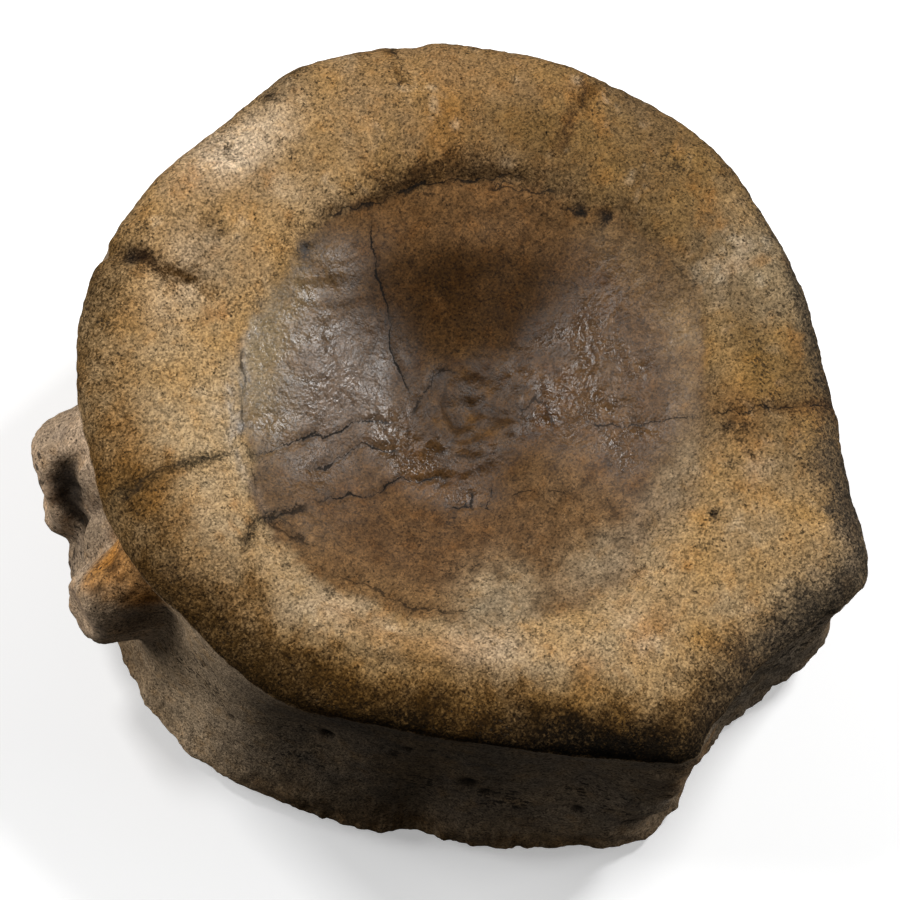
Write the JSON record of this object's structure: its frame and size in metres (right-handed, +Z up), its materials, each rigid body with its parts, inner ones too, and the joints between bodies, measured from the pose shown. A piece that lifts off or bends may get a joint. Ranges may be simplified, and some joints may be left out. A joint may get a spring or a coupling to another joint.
{
  "type": "fossil vertebra",
  "caption": "Fossil neck vertebra centrum of a pliosaur lying on one joint face: broad rolled rim round a sunk dark bowl, waisted wall, paired rib facets at the sides",
  "frame": {"origin": "on the floor, under the middle of the bone's box", "axes": "+Z up, along the body axis to the anterior face; +Y dorsal, to the side of the neural canal; +X the animal's left"},
  "size_m": [0.1586, 0.1581, 0.0714],
  "materials": {
    "centrum": "ochre mineralised bone, matt and finely pored on the rim, dark brown and glossy in the bowl",
    "rib_facet": "grey-tan mineralised bone with orange and black stains",
    "neural_facet": "dark grey-brown mineralised bone, rough where the arch broke away"
  },
  "bodies": {
    "root": {"centrum": "centrum", "parapophysis_left": "rib_facet", "diapophysis_left": "rib_facet", "parapophysis_right": "rib_facet", "diapophysis_right": "rib_facet", "neural_facet_left": "neural_facet", "neural_facet_right": "neural_facet"}
  },
  "joints": []
}
